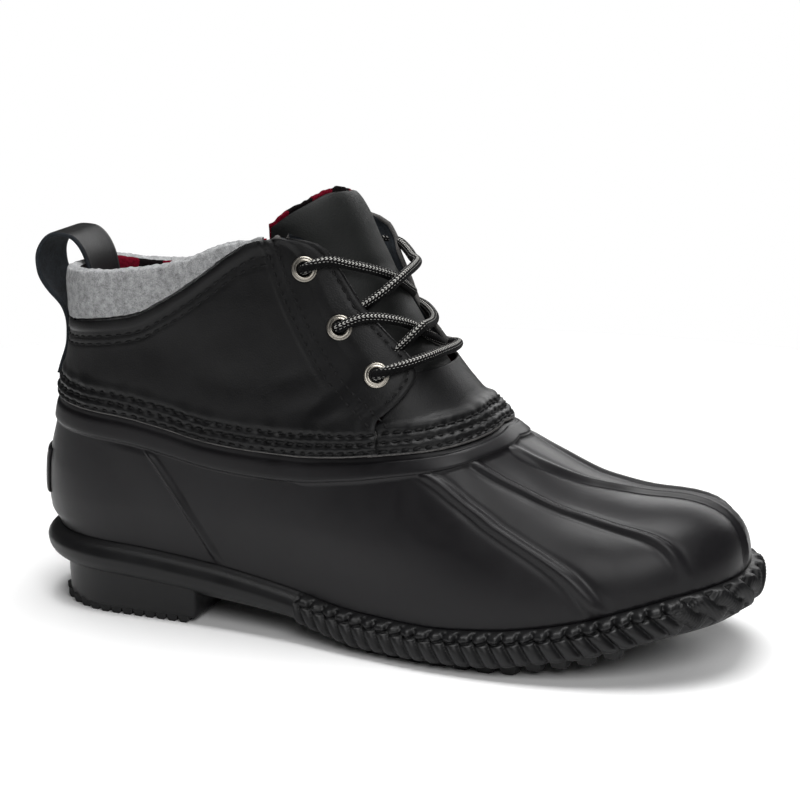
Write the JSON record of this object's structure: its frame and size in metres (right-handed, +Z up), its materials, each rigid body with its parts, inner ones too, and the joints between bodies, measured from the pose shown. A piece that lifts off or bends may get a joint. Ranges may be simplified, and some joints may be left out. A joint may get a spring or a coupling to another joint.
{
  "type": "duck boot",
  "caption": "Ankle-high duck boot for the right foot: moulded rubber shell and chain-rimmed sole, leather shaft with eyelets and lace, felt collar, pull loop at the heel.",
  "frame": {"origin": "on the floor under the middle of the heel, on the tread bar there", "axes": "+X from heel to toe, +Y to the inner side of the right foot, +Z up"},
  "size_m": [0.285, 0.1028, 0.1689],
  "materials": {
    "rubber": "satin",
    "leather": "satin",
    "felt": "matte",
    "lining": "matte",
    "nickel": "satin",
    "lace": "matte"
  },
  "bodies": {
    "root": {"outsole": "rubber", "shell": "rubber", "heel_plate": "rubber", "shaft": "leather", "vamp": "leather", "tongue": "leather", "collar": "felt", "pull_strap": "leather", "insole": "lining", "eyelet_lateral_1": "nickel", "eyelet_lateral_2": "nickel", "eyelet_lateral_3": "nickel", "eyelet_medial_1": "nickel", "eyelet_medial_2": "nickel", "eyelet_medial_3": "nickel", "lace_crossing_upper": "lace", "lace_crossing_lower": "lace", "lace_bar": "lace"}
  },
  "joints": []
}
